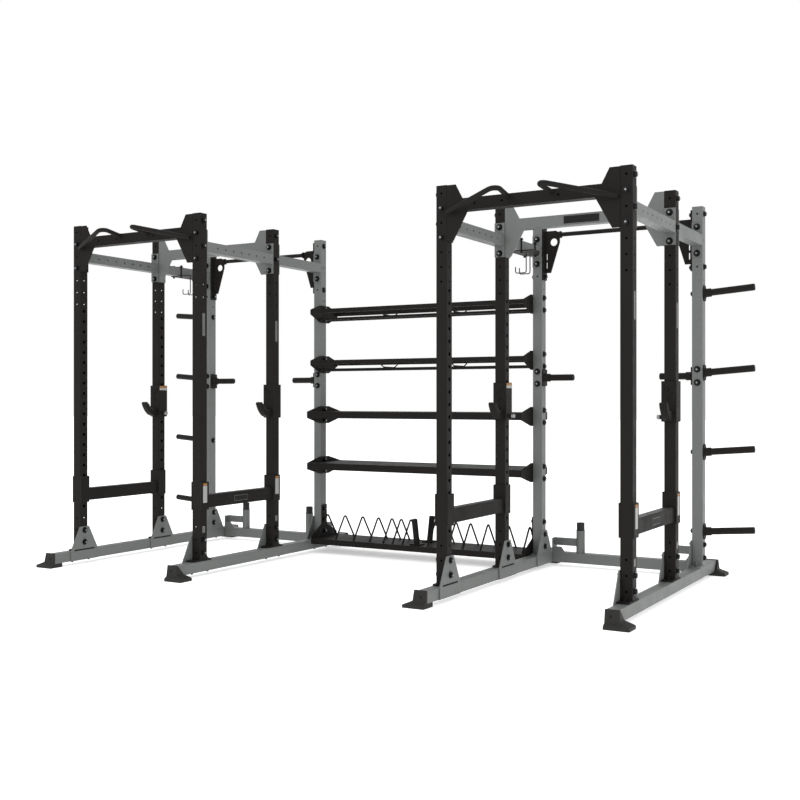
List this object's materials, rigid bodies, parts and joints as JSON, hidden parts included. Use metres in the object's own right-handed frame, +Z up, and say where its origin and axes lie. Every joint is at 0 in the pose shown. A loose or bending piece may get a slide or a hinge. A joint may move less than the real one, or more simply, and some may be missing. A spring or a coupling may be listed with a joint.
{
  "type": "double power cage with storage bridge",
  "caption": "Two bolted square-tube power cages joined by a shelved storage bridge, with sliding rod cups and safety bars, pull-up bars and plate horns.",
  "frame": {"origin": "on the floor at the centre of the rig's bounding box", "axes": "+X along the rig, +Y from the open front to the back, +Z up"},
  "size_m": [5.2272, 2.28, 2.642],
  "materials": {
    "black_powder_coat": "fine textured powder coat",
    "grey_powder_coat": "smooth silver-grey powder coat",
    "foot_plastic": "moulded, matte",
    "liner_plastic": "satin polyethylene",
    "black_zinc": "black plated, glossy",
    "bare_steel": "turned steel"
  },
  "bodies": {
    "rig": {"base_rails": "grey_powder_coat", "front_feet": "foot_plastic", "rear_feet": "foot_plastic", "rear_base_beams": "grey_powder_coat", "upright_gussets": "grey_powder_coat", "front_uprights": "black_powder_coat", "middle_uprights": "black_powder_coat", "rear_uprights": "grey_powder_coat", "front_crossmembers": "black_powder_coat", "middle_crossmembers": "grey_powder_coat", "front_side_beams": "grey_powder_coat", "rear_side_beams": "grey_powder_coat", "grip_handles": "black_powder_coat", "pull_up_brackets": "black_powder_coat", "pull_up_bars": "black_powder_coat", "outer_plate_horns": "black_powder_coat", "inner_plate_horns": "black_powder_coat", "bar_holders": "grey_powder_coat", "bar_holder_liners": "liner_plastic", "hook_plates": "black_powder_coat", "accessory_hooks": "black_zinc", "shelf_end_plates": "black_powder_coat", "cradle_shelf_rails": "black_powder_coat", "cradle_shelf_wires": "black_powder_coat", "flat_shelf_rails": "black_powder_coat", "flat_shelf_trays": "black_powder_coat", "plate_tray": "black_powder_coat", "tray_end_brackets": "black_powder_coat", "tray_dividers": "black_powder_coat", "tray_posts": "black_powder_coat", "top_bolts": "black_zinc", "base_bolts": "black_zinc", "shelf_bolts": "black_zinc", "horn_bolts": "black_zinc"},
    "cup_1": {"rod_cup_1": "black_powder_coat", "cup_liner_1": "liner_plastic"},
    "plunger_1": {"cup_plunger_1": "bare_steel"},
    "safety_1": {"safety_bar_1": "black_powder_coat", "safety_liner_1": "liner_plastic"},
    "cup_2": {"rod_cup_2": "black_powder_coat", "cup_liner_2": "liner_plastic"},
    "plunger_2": {"cup_plunger_2": "bare_steel"},
    "safety_2": {"safety_bar_2": "black_powder_coat", "safety_liner_2": "liner_plastic"},
    "cup_3": {"rod_cup_3": "black_powder_coat", "cup_liner_3": "liner_plastic"},
    "plunger_3": {"cup_plunger_3": "bare_steel"},
    "safety_3": {"safety_bar_3": "black_powder_coat", "safety_liner_3": "liner_plastic"},
    "cup_4": {"rod_cup_4": "black_powder_coat", "cup_liner_4": "liner_plastic"},
    "plunger_4": {"cup_plunger_4": "bare_steel"},
    "safety_4": {"safety_bar_4": "black_powder_coat", "safety_liner_4": "liner_plastic"}
  },
  "joints": [
    {"name": "cup_1_height", "type": "slide", "parent": "rig", "child": "cup_1", "axis": [0, 0, 1], "range_m": [-0.24, 0.8]},
    {"name": "plunger_1_pull", "type": "slide", "parent": "cup_1", "child": "plunger_1", "axis": [1, 0, 0], "range_m": [0, 0.018], "stiffness_N_per_m": 600, "springref_m": -0.005},
    {"name": "safety_1_height", "type": "slide", "parent": "rig", "child": "safety_1", "axis": [0, 0, 1], "range_m": [-0.16, 0.16]},
    {"name": "cup_2_height", "type": "slide", "parent": "rig", "child": "cup_2", "axis": [0, 0, 1], "range_m": [-0.24, 0.8]},
    {"name": "plunger_2_pull", "type": "slide", "parent": "cup_2", "child": "plunger_2", "axis": [-1, 0, 0], "range_m": [0, 0.018], "stiffness_N_per_m": 600, "springref_m": -0.005},
    {"name": "safety_2_height", "type": "slide", "parent": "rig", "child": "safety_2", "axis": [0, 0, 1], "range_m": [-0.16, 0.16]},
    {"name": "cup_3_height", "type": "slide", "parent": "rig", "child": "cup_3", "axis": [0, 0, 1], "range_m": [-0.24, 0.8]},
    {"name": "plunger_3_pull", "type": "slide", "parent": "cup_3", "child": "plunger_3", "axis": [1, 0, 0], "range_m": [0, 0.018], "stiffness_N_per_m": 600, "springref_m": -0.005},
    {"name": "safety_3_height", "type": "slide", "parent": "rig", "child": "safety_3", "axis": [0, 0, 1], "range_m": [-0.16, 0.16]},
    {"name": "cup_4_height", "type": "slide", "parent": "rig", "child": "cup_4", "axis": [0, 0, 1], "range_m": [-0.24, 0.8]},
    {"name": "plunger_4_pull", "type": "slide", "parent": "cup_4", "child": "plunger_4", "axis": [-1, 0, 0], "range_m": [0, 0.018], "stiffness_N_per_m": 600, "springref_m": -0.005},
    {"name": "safety_4_height", "type": "slide", "parent": "rig", "child": "safety_4", "axis": [0, 0, 1], "range_m": [-0.16, 0.16]}
  ]
}
